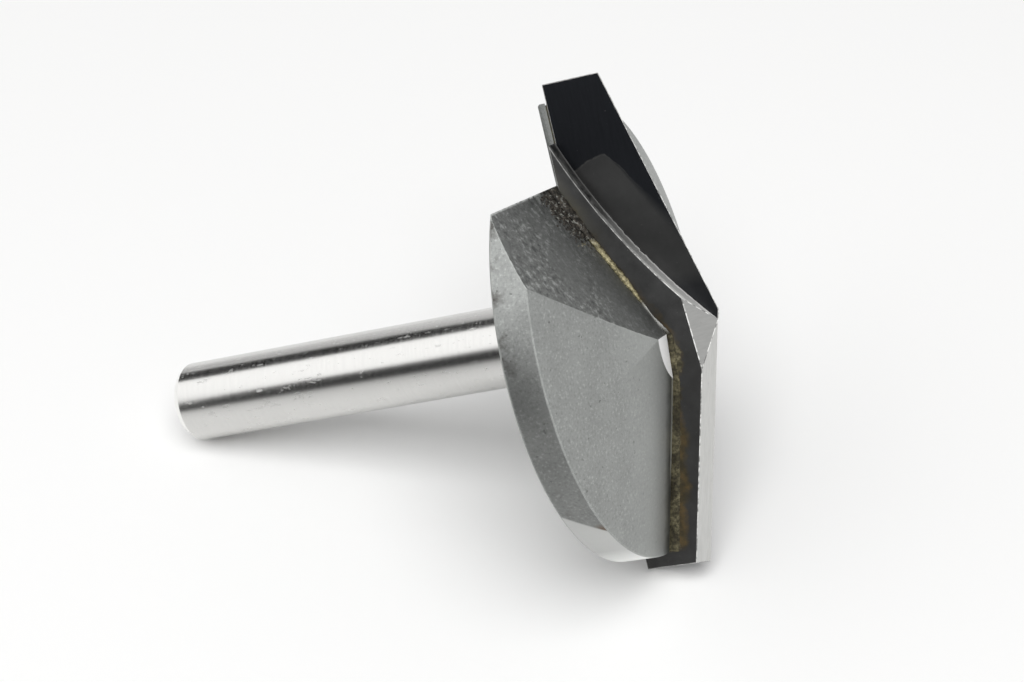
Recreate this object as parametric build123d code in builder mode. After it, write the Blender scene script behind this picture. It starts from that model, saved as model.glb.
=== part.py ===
from build123d import *
import os
from math import hypot, radians, sqrt, tan

# V-groove router bit: a steel body turned and milled from one bar, with two carbide
# plates brazed back to back across its axis. It lies on the floor as it comes to rest.
# Lengths are millimetres, angles are degrees.

# Shank, which the collet grips
shank_diameter = 6.35
shank_length = 35.7
shank_chamfer_depth = 0.46
shank_chamfer_length = 0.6
neck_radius = 4.5

# Head, a low cone on a short rim, faced off beside the point and slotted for the plates
head_diameter = 35.2
rim_height = 2.76
rim_break = 0.15
nose_depth = 0.9
nose_fall = 4.5
slot_floor = 0.6

# Flutes, which clear the chips in front of each cutting edge
flute_reach = 11.37
flute_slope = 27.75

# Carbide plates
cutting_diameter = 38.0
included_angle = 150.0
plate_thickness = 1.5
plate_side_height = 4.6
plate_tail = 14.55
tail_wheel_radius = 50.0
crossing = 0.76
relief_angle = 25.6
side_relief_angle = 14.2
gash_angle = 49.9
gash_lean = 3.3
lower_gash_drop = 0.25
upper_gash_drop = -0.05

# Brazing
braze_film = 0.1
flute_bead = 0.8
middle_bead = 1.15
edge_bead = 0.35

# Sizes that follow from the driving dimensions
shank_radius = shank_diameter / 2
head_radius = head_diameter / 2
cutting_radius = cutting_diameter / 2
edge_fall = tan(radians(90 - included_angle / 2))
plate_foot = slot_floor + braze_film
corner_height = plate_foot + plate_side_height
point_height = corner_height + cutting_radius * edge_fall
slot_half = plate_thickness + braze_film
flute_rise = tan(radians(flute_slope))
cone_height = rim_height + head_radius * edge_fall
nose_height = cone_height - nose_depth
heel_width = sqrt(head_radius**2 - flute_reach**2)


def resting_down():
    """Down, in the bit's own axes, when shank end, plate corner and heel touch the floor."""
    plate_touch = Vector(0, -cutting_radius, plate_foot)
    heel_touch = Vector(heel_width, -flute_reach, 0)
    down = Vector(1, -2, -1).normalized()
    for _ in range(20):
        outward = Vector(down.X, down.Y, 0).normalized()
        shank_touch = outward * shank_radius - Vector(0, 0, shank_length - shank_chamfer_length)
        down = (shank_touch - plate_touch).cross(heel_touch - plate_touch).normalized()
    return down, down.dot(plate_touch)


def reach(direction):
    """How far the bit extends from the centre of the head's back along a direction."""
    corners = [Vector(0, side * cutting_radius, corner_height) for side in (-1, 1)]
    corners.append(Vector(0, 0, point_height))
    rings = [
        (shank_radius - shank_chamfer_depth, -shank_length),
        (shank_radius, shank_chamfer_length - shank_length),
        (head_radius - rim_break, 0),
        (head_radius, rim_break),
        (head_radius, rim_height),
    ]
    sideways = hypot(direction.X, direction.Y)
    return max(
        [corner.dot(direction) for corner in corners]
        + [radius * sideways + height * direction.Z for radius, height in rings]
    )


def lying_plane():
    """The bit's own plane in the room: its origin at the head's back, its normal to the point."""
    down, floor_distance = resting_down()
    up = down * -1
    along = (Vector(0, 0, 1) - up * up.Z).normalized()
    across = up.cross(along)
    middle = [(reach(way) - reach(way * -1)) / 2 for way in (along, across)]
    return Plane(
        origin=(-middle[0], -middle[1], floor_distance),
        x_dir=(along.X, across.X, up.X),
        z_dir=(along.Z, across.Z, up.Z),
    )


def plane_in(base, origin, x_dir=None, z_dir=(0, 0, 1)):
    """A plane given in another plane's own coordinates."""
    return Plane(base.location * Plane(origin=origin, x_dir=x_dir, z_dir=z_dir).location)


bit = lying_plane()

# Each blade's plane: x outwards along its cutting edge, y to the point, z to the plate's back
blades = {
    "lower": plane_in(bit, (0, 0, 0), x_dir=(0, -1, 0), z_dir=(-1, 0, 0)),
    "upper": plane_in(bit, (0, 0, 0), x_dir=(0, 1, 0), z_dir=(1, 0, 0)),
}
# How far each plate's inner corner stands from the axis, and its gash below the point
inner_corners = {"lower": crossing, "upper": -crossing}
gash_drops = {"lower": lower_gash_drop, "upper": upper_gash_drop}


def turned_blank():
    """The body as it leaves the lathe: shank, neck and coned head on one axis."""
    with BuildPart() as blank:
        with BuildSketch(plane_in(bit, (0, 0, 0), x_dir=(1, 0, 0), z_dir=(0, -1, 0))):
            with BuildLine():
                Polyline(
                    (shank_radius, -neck_radius),
                    (shank_radius, shank_chamfer_length - shank_length),
                    (shank_radius - shank_chamfer_depth, -shank_length),
                    (0, -shank_length),
                    (0, cone_height),
                    (head_radius, rim_height),
                    (head_radius, rim_break),
                    (head_radius - rim_break, 0),
                    (shank_radius + neck_radius, 0),
                )
                CenterArc((shank_radius + neck_radius, -neck_radius), neck_radius, 90, 90)
            make_face()
        revolve(axis=Axis(bit.origin, bit.z_dir))
        for blade in blades.values():
            with BuildSketch(blade):
                with BuildLine():
                    Polyline(
                        (-cutting_radius, flute_rise * (flute_reach - cutting_radius)),
                        (point_height / flute_rise - flute_reach, point_height),
                        (-cutting_radius, point_height),
                        close=True,
                    )
                make_face()
            extrude(amount=cutting_radius, mode=Mode.SUBTRACT)
            nose = plane_in(blade, (0, nose_height, 0), z_dir=(tan(radians(nose_fall)), 1, 0))
            split(bisect_by=nose, keep=Keep.BOTTOM)
    return blank.part


def wheel_centre(foot, corner):
    """Centre of the wheel that ground a plate's hollow inner end through two points."""
    chord = corner - foot
    height = sqrt(tail_wheel_radius**2 - (chord.length / 2) ** 2)
    return foot + chord / 2 + Vector(-chord.Y, chord.X).normalized() * height


def carbide_plate(side):
    """One plate, drawn on its rake face, then ground on its top, side and inner end."""
    blade = blades[side]
    inner = inner_corners[side]
    tail_foot = Vector(-plate_tail, plate_foot)
    wheel = wheel_centre(tail_foot, Vector(inner, point_height - edge_fall * crossing))
    relief = tan(radians(relief_angle))
    point = (0, point_height, 0)
    gash_point = (0, point_height - gash_drops[side], 0)
    with BuildPart() as plate:
        with BuildSketch(blade):
            with BuildLine():
                Polyline(
                    tail_foot,
                    (cutting_radius, plate_foot),
                    (cutting_radius, corner_height),
                    (inner, point_height - edge_fall * inner),
                    close=True,
                )
            make_face()
            with Locations(wheel):
                Circle(tail_wheel_radius, mode=Mode.SUBTRACT)
        extrude(amount=plate_thickness)
        grinds = [
            (point, (edge_fall, 1, relief)),
            (point, (-edge_fall, 1, -relief)),
            (gash_point, (-tan(radians(gash_lean)), 1, tan(radians(gash_angle)))),
            ((cutting_radius, 0, 0), (1, 0, tan(radians(side_relief_angle)))),
        ]
        for origin, normal in grinds:
            split(bisect_by=plane_in(blade, origin, z_dir=normal), keep=Keep.BOTTOM)
    return plate.part


def braze_seam(side, blank, body, plate):
    """The braze round one plate: the film in its slot and the bead along its back."""
    blade = blades[side]
    nose_end = (cone_height - nose_height) / (edge_fall - tan(radians(nose_fall)))
    nose_end_height = nose_height - tan(radians(nose_fall)) * nose_end
    rim_end = sqrt(head_radius**2 - (plate_thickness + edge_bead) ** 2) - braze_film
    stations = [
        (braze_film - flute_reach, 0, flute_bead),
        (-flute_reach / 2, flute_rise * flute_reach / 2, middle_bead),
        (nose_height / flute_rise - flute_reach, nose_height, edge_bead),
        (nose_end, nose_end_height, edge_bead),
        (rim_end, rim_height, edge_bead),
    ]
    with BuildPart() as film:
        add(blank)
        with BuildSketch(blade):
            with Locations((0, slot_floor)):
                Rectangle(cutting_diameter, point_height, align=(Align.CENTER, Align.MIN))
        extrude(amount=slot_half, mode=Mode.INTERSECT)
    with BuildPart() as seam:
        for along, height, leg in stations:
            section = plane_in(blade, (along, height, plate_thickness), x_dir=(0, 0, 1), z_dir=(-1, 0, 0))
            with BuildSketch(section):
                with BuildLine():
                    Polyline((leg, 0), (leg, -leg), (-braze_film, -leg), (-braze_film, leg), (0, leg))
                    CenterArc((leg, leg), leg, 180, 90)
                make_face()
        loft(ruled=True)
        split(bisect_by=bit, keep=Keep.TOP)
        add(film.part)
        add(body, mode=Mode.SUBTRACT)
        add(plate, mode=Mode.SUBTRACT)
    return seam.part


blank = turned_blank()

with BuildPart() as cutter_body:
    add(blank)
    with BuildSketch(plane_in(bit, (0, 0, slot_floor), x_dir=(1, 0, 0))):
        Rectangle(2 * slot_half, cutting_diameter)
    extrude(amount=point_height, mode=Mode.SUBTRACT)
    # Past the flutes' feet the slot is open through the head's back
    for blade in blades.values():
        with BuildSketch(blade):
            with Locations((flute_reach, 0)):
                Rectangle(cutting_radius, 2 * slot_floor, align=(Align.MIN, Align.CENTER))
        extrude(amount=slot_half, mode=Mode.SUBTRACT)
cutter_body.part.label = "cutter_body"

os.makedirs("parts", exist_ok=True)
export_step(cutter_body.part, "parts/cutter_body.step")
for side in blades:
    plate = carbide_plate(side)
    plate.label = f"carbide_plate_{side}"
    export_step(plate, f"parts/{plate.label}.step")
    seam = braze_seam(side, blank, cutter_body.part, plate)
    seam.label = f"braze_seam_{side}"
    export_step(seam, f"parts/{seam.label}.step")
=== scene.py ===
from math import atan2, cos, hypot, pi, radians, sin, sqrt, tan

import bmesh
import bpy
from bpy.props import FloatProperty, FloatVectorProperty, IntProperty, PointerProperty
from mathutils import Matrix, Vector, noise
from mathutils.geometry import intersect_line_sphere_2d


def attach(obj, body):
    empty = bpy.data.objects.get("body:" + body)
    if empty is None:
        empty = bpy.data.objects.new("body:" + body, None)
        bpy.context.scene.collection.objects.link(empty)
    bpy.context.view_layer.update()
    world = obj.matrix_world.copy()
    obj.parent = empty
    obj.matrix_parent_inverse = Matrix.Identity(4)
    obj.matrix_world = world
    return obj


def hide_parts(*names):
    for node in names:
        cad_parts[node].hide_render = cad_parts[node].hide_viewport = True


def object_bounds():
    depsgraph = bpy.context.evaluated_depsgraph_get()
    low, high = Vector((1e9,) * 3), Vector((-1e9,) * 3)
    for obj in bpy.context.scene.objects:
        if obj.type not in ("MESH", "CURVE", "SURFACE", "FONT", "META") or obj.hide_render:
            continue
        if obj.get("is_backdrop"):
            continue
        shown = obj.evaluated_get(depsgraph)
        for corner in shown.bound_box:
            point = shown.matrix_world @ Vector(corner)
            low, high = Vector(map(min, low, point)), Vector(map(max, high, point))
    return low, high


bl_info = {
    "name": "V-groove router bit",
    "version": (1, 0, 0),
    "blender": (4, 5, 0),
    "location": "3D View > Sidebar > Router bit",
    "description": "Turns, slots, brazes and finishes a wide v-groove router bit lying on a pale floor",
    "category": "Object",
}

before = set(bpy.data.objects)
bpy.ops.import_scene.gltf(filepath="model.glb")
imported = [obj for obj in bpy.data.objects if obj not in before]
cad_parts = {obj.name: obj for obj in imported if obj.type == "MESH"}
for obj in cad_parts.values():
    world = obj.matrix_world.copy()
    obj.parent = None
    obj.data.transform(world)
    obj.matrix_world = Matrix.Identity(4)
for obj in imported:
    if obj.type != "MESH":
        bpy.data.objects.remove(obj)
cad_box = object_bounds()

# The bit's own axes in the room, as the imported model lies: the axis runs from shank to point
BIT = Matrix((
    (0.1690302, -0.3098313, 0.9356460, 0.0117575),
    (0.8778583, 0.4789204, 0.0, 0.0),
    (-0.4480999, 0.8213646, 0.3529400, 0.0153589),
    (0.0, 0.0, 0.0, 1.0),
))
BODY = "root"
MM = 0.001

# How far the spatter lies beside the seam, and the share of the flute's length that it covers
SPATTER_WIDTH = 3.2 * MM
SPATTER_REACH = 0.38

# Where the camera stands, its turn in degrees, and how far off the lights and cards stand
CAMERA_PLACE = (0.0394638, -0.1352537, 0.1343478)
CAMERA_TURN = (49.0444, 2.1131, 12.2352)
LAMP_DISTANCE = 0.7
CARD_DISTANCE = 0.6
CARD_AIM = Vector((0.012, 0, 0.015))


def length(name, description, millimetres):
    """A size in metres that a user may change."""
    return FloatProperty(
        name=name, description=description, default=millimetres * MM, unit="LENGTH", precision=5
    )


def angle(name, description, degrees):
    """An angle that a user may change."""
    return FloatProperty(
        name=name, description=description, default=radians(degrees), unit="ROTATION"
    )


def tint(name, description, red, green, blue):
    """A colour that a user may change."""
    return FloatVectorProperty(
        name=name, description=description, default=(red, green, blue), subtype="COLOR", min=0, max=1
    )


class BitBodySizes(bpy.types.PropertyGroup):
    """The turned and milled steel body."""

    shank_diameter: length("Shank diameter", "Across the part that the collet grips", 6.35)
    shank_length: length("Shank length", "From the free end to the head's back", 35.7)
    chamfer_depth: length("Chamfer depth", "How far the free end's chamfer cuts into the radius", 0.46)
    chamfer_length: length("Chamfer length", "How far the chamfer runs along the shank", 0.6)
    neck_radius: length("Neck radius", "Fillet between shank and head", 4.5)
    head_diameter: length("Head diameter", "Across the steel head", 35.2)
    rim_height: length("Rim height", "Of the straight wall round the head", 2.76)
    rim_break: length("Rim break", "Broken edge at the head's back", 0.15)
    nose_depth: length("Nose depth", "How far the faced nose lies under the cone's tip", 0.9)
    nose_fall: angle("Nose fall", "Slope of the faced nose towards the cutting side", 4.5)
    slot_floor: length("Slot floor", "Height of the slot's floor over the head's back", 0.6)
    flute_reach: length("Flute reach", "From the axis to the flute's foot", 11.37)
    flute_slope: angle("Flute slope", "Of the flute's floor against the head's back", 27.75)
    edge_rounding: length("Edge rounding", "Radius of the lathe-turned edges", 0.09)
    segments: IntProperty(name="Segments", description="Facets round the axis", default=256, min=24)


class BitPlateSizes(bpy.types.PropertyGroup):
    """The two brazed carbide plates."""

    cutting_diameter: length("Cutting diameter", "Across the two cutting corners", 38.0)
    included_angle: angle("Included angle", "Between the two cutting edges", 150.0)
    thickness: length("Plate thickness", "From rake face to back", 1.5)
    side_height: length("Side height", "Of the plate's outer end", 4.6)
    tail: length("Tail", "From the axis to the far foot of the plate", 14.55)
    wheel_radius: length("Wheel radius", "Of the wheel that ground the hollow inner end", 50.0)
    crossing: length("Crossing", "From the axis to each plate's inner corner", 0.76)
    relief: angle("Relief", "Fall of the ground land behind the cutting edge", 25.6)
    side_relief: angle("Side relief", "Slant of the plate's outer end", 14.2)
    gash: angle("Gash", "Fall of the gash behind the point", 49.9)
    gash_lean: angle("Gash lean", "Rise of the gash along the cutting edge", 3.3)
    lower_gash_drop: length("Lower gash drop", "Of the lower plate's gash under the point", 0.25)
    upper_gash_drop: length("Upper gash drop", "Of the upper plate's gash under the point", -0.05)
    edge_wear: length("Edge wear", "Width of the worn edges that catch the light", 0.04)
    chip_depth: length("Chip depth", "Of the chips along the hollow end", 0.16)


class BitBrazeSizes(bpy.types.PropertyGroup):
    """The braze that holds the plates."""

    film: length("Braze film", "Thickness in the slot", 0.1)
    heel_spread: length("Heel spread", "How far the braze spreads at the flute's foot", 0.8)
    streak_spread: length("Streak spread", "How far it spreads half way up the flute", 0.36)
    back_climb: length("Back climb", "How far it climbs the plate's back on the cone", 0.66)
    lump_height: length("Lump height", "Of the lumps on the bead", 0.26)
    lump_size: length("Lump size", "Across the lumps on the bead", 0.38)
    spatter_size: length("Spatter size", "Across the largest spatter beside the bead", 0.26)
    spatter_count: IntProperty(
        name="Spatter count", description="Grains of spatter beside each bead", default=1400, min=0
    )


class BitFinishes(bpy.types.PropertyGroup):
    """Colours of the steel, carbide and braze."""

    shank_steel: tint("Shank steel", "Centreless-ground shank", 0.66, 0.655, 0.64)
    head_steel: tint("Head steel", "Blasted head", 0.32, 0.329, 0.32)
    rim_steel: tint("Rim steel", "Reground band on the rim", 0.52, 0.525, 0.515)
    # Near-white: part faced steel, part painted reflection of the bright surroundings
    faced_steel_and_reflection: tint("Faced steel", "Bright faced nose", 0.95, 0.95, 0.945)
    rake_carbide: tint("Rake carbide", "Polished rake face", 0.026, 0.028, 0.033)
    bare_carbide: tint("Bare carbide", "Unpolished skin of the plates", 0.07, 0.07, 0.07)
    ground_carbide: tint("Ground carbide", "Ground lands, gashes and ends", 0.62, 0.62, 0.605)
    braze_gold: tint("Braze gold", "Clean braze", 0.56, 0.5, 0.3)
    braze_flux: tint("Braze flux", "Burnt flux over the braze", 0.035, 0.03, 0.02)
    floor_white: tint("Floor white", "Pale floor", 0.975, 0.975, 0.97)


class BitStudio(bpy.types.PropertyGroup):
    """Camera and light."""

    focal_length: FloatProperty(
        name="Focal length", description="In millimetres on a 36 mm sensor", default=84.33
    )
    sky_strength: FloatProperty(
        name="Sky strength", description="Even light from all round", default=0.38, min=0
    )
    panel_power: FloatProperty(
        name="Panel power", description="Of the panel overhead", default=3.6, unit="POWER"
    )
    softbox_power: FloatProperty(
        name="Softbox power", description="Of the large softbox", default=0.6, unit="POWER"
    )


def shade_flat_and_round(mesh, sharpness=28):
    """Smooth shading inside each surface and a hard edge between surfaces."""
    mesh.shade_smooth()
    mesh.set_sharp_from_angle(angle=radians(sharpness))


def placed(name, data):
    """A new object in the scene."""
    thing = bpy.data.objects.new(name, data)
    bpy.context.scene.collection.objects.link(thing)
    return thing


def new_piece(name, mesh, replaced):
    """A finished mesh in room coordinates becomes a piece of the bit."""
    mesh.name = name
    piece = placed(name, mesh)
    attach(piece, BODY)
    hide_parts(replaced)


def baked(source):
    """The plain mesh that a temporary object's modifiers give. The object is deleted."""
    graph = bpy.context.evaluated_depsgraph_get()
    mesh = bpy.data.meshes.new_from_object(source.evaluated_get(graph))
    source.modifiers.clear()
    bpy.data.objects.remove(source)
    return mesh


def grow(mesh, tree, values):
    """Runs a geometry node tree on a mesh, its inputs set by name."""
    holder = placed(mesh.name, mesh)
    modifier = holder.modifiers.new(tree.name, "NODES")
    modifier.node_group = tree
    for item in tree.interface.items_tree:
        if item.item_type == "SOCKET" and item.in_out == "INPUT" and item.name in values:
            modifier[item.identifier] = values[item.name]
    return baked(holder)


class Nodes:
    """Nodes of a tree, written as short calls."""

    def add(self, kind, inputs=None, **settings):
        """One node with its settings and inputs: a socket is linked and a value is set."""
        node = self.tree.nodes.new(kind)
        for setting, value in settings.items():
            setattr(node, setting, value)
        for key, value in (inputs or {}).items():
            if isinstance(value, bpy.types.NodeSocket):
                self.tree.links.new(value, node.inputs[key])
            else:
                node.inputs[key].default_value = value
        return node

    def result(self, kind, inputs=None, **settings):
        """The first output of a new node."""
        return self.add(kind, inputs, **settings).outputs[0]

    def maths(self, operation, first, second=0.0):
        """A sum on one or two values."""
        return self.result("ShaderNodeMath", {0: first, 1: second}, operation=operation)

    def plus(self, first, second):
        return self.maths("ADD", first, second)

    def minus(self, first, second):
        return self.maths("SUBTRACT", first, second)

    def times(self, first, second):
        return self.maths("MULTIPLY", first, second)

    def over(self, first, second):
        return self.maths("DIVIDE", first, second)


class GrowthTree(Nodes):
    """A geometry node tree with named inputs."""

    def __init__(self, name, inputs):
        self.tree = bpy.data.node_groups.new(name, "GeometryNodeTree")
        sockets = self.tree.interface
        sockets.new_socket("Geometry", in_out="INPUT", socket_type="NodeSocketGeometry")
        for label, kind in inputs:
            sockets.new_socket(label, in_out="INPUT", socket_type=f"NodeSocket{kind}")
        sockets.new_socket("Geometry", in_out="OUTPUT", socket_type="NodeSocketGeometry")
        self.inputs = self.tree.nodes.new("NodeGroupInput").outputs
        self.output = self.tree.nodes.new("NodeGroupOutput")

    def carried(self, name):
        """A number that each point of the mesh carries."""
        return self.result("GeometryNodeInputNamedAttribute", {"Name": name}, data_type="FLOAT")

    def end(self, geometry):
        """Ends the tree with real geometry in the named finish."""
        real = self.result("GeometryNodeRealizeInstances", {"Geometry": geometry})
        values = {"Geometry": real, "Material": self.inputs["Finish"]}
        done = self.result("GeometryNodeSetMaterial", values)
        self.tree.links.new(done, self.output.inputs[0])
        return self.tree


class Finish(Nodes):
    """A node material on the bit's own coordinates, written as short calls."""

    def __init__(self, name, roughness, metallic=1.0):
        self.material = bpy.data.materials.new(name)
        self.material.use_nodes = True
        self.tree = self.material.node_tree
        self.shader = self.tree.nodes["Principled BSDF"]
        self.shader.inputs["Metallic"].default_value = metallic
        self.shader.inputs["Roughness"].default_value = roughness
        source = self.tree.nodes.new("ShaderNodeTexCoord").outputs["Object"]
        turn = {"Vector": source, "Location": BIT.translation, "Rotation": BIT.to_euler()}
        self.place = self.result("ShaderNodeMapping", turn, vector_type="TEXTURE")
        split = self.add("ShaderNodeSeparateXYZ", {0: self.place})
        self.x, self.y, self.z = split.outputs

    def grain(self, scale, stretch=(1, 1, 1), detail=4.0, rough=0.6):
        """Noise from 0 to 1: scale is grains per metre before the stretch."""
        spread = self.add("ShaderNodeVectorMath", {0: self.place, 1: stretch}, operation="MULTIPLY")
        values = {"Vector": spread.outputs[0], "Scale": scale, "Detail": detail, "Roughness": rough}
        return self.result("ShaderNodeTexNoise", values)

    def ramp(self, value, low, high, first=0.0, last=1.0):
        """A value spread from low to high onto first to last, and held there."""
        values = {"Value": value, "From Min": low, "From Max": high, "To Min": first, "To Max": last}
        return self.result("ShaderNodeMapRange", values)

    def patches(self, scale, low, high, first=0.0, last=1.0, **kind):
        """Noise spread over a value's range, as patches with soft edges."""
        return self.ramp(self.grain(scale, **kind), low, high, first, last)

    def mix(self, share, first, second):
        """A colour between two colours."""
        values = {0: share}
        for socket, colour in ((6, first), (7, second)):
            values[socket] = colour if isinstance(colour, bpy.types.NodeSocket) else (*colour, 1.0)
        return self.add("ShaderNodeMix", values, data_type="RGBA").outputs[2]

    def spot(self, centre, radius, soft):
        """1 round a place on the bit, falling to 0 over a soft edge."""
        values = {0: self.place, 1: centre}
        gap = self.add("ShaderNodeVectorMath", values, operation="DISTANCE").outputs["Value"]
        return self.ramp(gap, radius, radius + soft, 1, 0)

    def sheet_axes(self):
        """A flat sheet's own axes, in the room's units."""
        place = self.add("ShaderNodeTexCoord").outputs["Object"]
        return self.add("ShaderNodeSeparateXYZ", {0: place}).outputs

    def outward(self):
        """Distance along the blade, from the axis towards its cutting corner."""
        return self.times(self.y, self.maths("SIGN", self.x))

    def edges(self, radius):
        """0 on open surfaces, rising to 1 along their edges."""
        rounded = self.result("ShaderNodeBevel", {"Radius": radius})
        flat = self.add("ShaderNodeNewGeometry").outputs["Normal"]
        values = {0: rounded, 1: flat}
        alike = self.add("ShaderNodeVectorMath", values, operation="DOT_PRODUCT").outputs["Value"]
        return self.ramp(alike, 0.995, 0.93)

    def relief(self, height, depth, edge=0.0):
        """Fine relief on the surface, over edges that are rounded by a radius."""
        values = {"Height": height, "Distance": depth, "Strength": 1.0}
        if edge:
            values["Normal"] = self.result("ShaderNodeBevel", {"Radius": edge})
        self.set("Normal", self.result("ShaderNodeBump", values))

    def set(self, socket, value):
        """Links or sets an input of the shader."""
        if isinstance(value, bpy.types.NodeSocket):
            self.tree.links.new(value, self.shader.inputs[socket])
        else:
            self.shader.inputs[socket].default_value = value


def ground_shank(colours, sizes):
    """Centreless-ground steel: fine rings and handling scratches, paler at the cut end."""
    finish = Finish("ground_shank_steel", 0.22)
    rings = finish.grain(300, (1, 1, 30), detail=3)
    scratches = finish.grain(1500, (1.2, 1.2, 0.45), detail=5, rough=0.72)
    worn = finish.ramp(scratches, 0.6, 0.68)
    rough = finish.ramp(rings, 0.3, 0.7, 0.18, 0.25)
    finish.set("Roughness", finish.plus(rough, finish.times(worn, 0.22)))
    steel = Vector(colours.shank_steel)
    base = finish.mix(finish.ramp(rings, 0.3, 0.7), steel * 0.95, steel * 1.01)
    free_end = finish.ramp(finish.z, 0.0005 - sizes.shank_length, 0.0007 - sizes.shank_length, 1, 0)
    finish.set("Base Color", finish.mix(free_end, base, steel * 1.35))
    height = finish.plus(rings, finish.times(worn, -2.4))
    finish.relief(height, 0.0000016)
    return finish.material


def blasted(finish, steel, low, high):
    """The colour of blasted steel: clouds between two shares of a tone, bright grains and pits, and
    brighter edges that are part wear, part painted highlight.
    """
    cloud = finish.patches(420, 0.3, 0.7, detail=5)
    base = finish.mix(cloud, steel * low, steel * high)
    fine = finish.grain(4300, detail=3, rough=0.7)
    base = finish.mix(finish.ramp(fine, 0.34, 0.46, 0.4, 0), base, steel * low * 0.62)
    base = finish.mix(finish.ramp(fine, 0.56, 0.7, 0, 0.55), base, steel * high * 1.55)
    pits = finish.patches(2300, 0.67, 0.72, 0, 0.7, detail=3)
    base = finish.mix(pits, base, steel * 0.35)
    # Edges painted up to 2.5 times brighter: partly worn edges, partly a painted highlight along them
    wear = finish.patches(1300, 0.35, 0.6, 0.35, 0.95, detail=4)
    wear = finish.times(wear, finish.edges(0.00016))
    return finish.mix(wear, base, steel * 2.5), fine


def blasted_head(colours, slot_half):
    """Blasted steel, painted lighter towards the slot as bounce light, with a pale lip and a dark line
    beside the slot.
    """
    finish = Finish("blasted_head_steel", 0.5)
    steel = Vector(colours.head_steel)
    base, fine = blasted(finish, steel, 0.95, 1.08)
    off_slot = finish.minus(finish.maths("ABSOLUTE", finish.x), slot_half)
    wander = finish.patches(700, 0.3, 0.7, -0.0002, 0.00025, detail=4)
    # Painted bounce light: the steel is painted lighter towards the slot, where light bounces off the
    # plate
    base = finish.mix(finish.ramp(off_slot, 0.0012, 0.008, 0.7, 0), base, steel * 1.55)
    # burnt here is only a darker band beside the slot, on the cutting side, of unknown cause
    burnt = finish.ramp(finish.plus(off_slot, wander), 0.0003, 0.0014, 0.8, 0)
    cutting_side = finish.ramp(finish.outward(), 0.0015, 0.004)
    base = finish.mix(finish.times(burnt, cutting_side), base, steel * 0.3)
    inner_half = finish.ramp(finish.outward(), 0.0105, 0.0125, 1, 0)
    lip = finish.times(finish.ramp(off_slot, 0.0002, 0.00034, 0.95, 0), inner_half)
    base = finish.mix(finish.times(lip, cutting_side), base, steel * 2.4)
    finish.set("Base Color", base)
    finish.relief(fine, 0.000016, 0.0001)
    return finish.material


def reground_rim(colours, sizes):
    """The rim's wall: dark blasted steel with smudges, lighter where it was ground again; its darkness
    and a paler stretch round it are painted shade and light.
    """
    finish = Finish("rim_wall_steel", 0.42)
    steel = Vector(colours.head_steel)
    turn = finish.maths("ARCTAN2", finish.y, finish.x)
    half_turn = finish.maths("FLOORED_MODULO", turn, pi)
    start = finish.ramp(finish.z, 0.0, sizes.rim_height, radians(37), radians(46))
    begun = finish.ramp(finish.minus(half_turn, start), -0.004, 0.012)
    ended = finish.ramp(half_turn, radians(92), radians(94), 1, 0)
    # Painted light and shade: a darker copy of the blasted steel for the rim, and a lighter copy for a
    # stretch after the reground band, fading back to the darker one
    dark, fine = blasted(finish, steel, 0.6, 0.76)
    pale, _ = blasted(finish, steel, 1.1, 1.35)
    beyond = finish.maths("FLOORED_MODULO", finish.minus(turn, radians(94)), pi)
    dark = finish.mix(finish.ramp(beyond, radians(60), radians(108), 0.95, 0), dark, pale)
    smudge = finish.patches(620, 0.5, 0.66, 0, 0.9, detail=5, rough=0.65)
    outer = finish.ramp(half_turn, radians(18), radians(32))
    low = finish.ramp(finish.z, 0.0002, 0.0013, 1, 0)
    stain = finish.times(smudge, finish.times(outer, low))
    dark = finish.mix(stain, dark, (0.06, 0.052, 0.045))
    for way in (-1, 1):
        rust = finish.spot((way * 0.01246, way * 0.01243, 0.0025), 0.0001, 0.0007)
        dark = finish.mix(finish.times(rust, 0.8), dark, (0.12, 0.075, 0.045))
    clouds = finish.patches(330, 0.3, 0.7, detail=5)
    ground = Vector(colours.rim_steel)
    light = finish.mix(clouds, ground * 0.92, ground)
    # Painted light: the reground band is painted brighter towards its end
    light = finish.mix(finish.ramp(half_turn, radians(57), radians(70), 0, 1), light, ground * 1.85)
    finish.set("Base Color", finish.mix(finish.times(begun, ended), dark, light))
    finish.relief(fine, 0.00001, 0.00012)
    return finish.material


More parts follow.
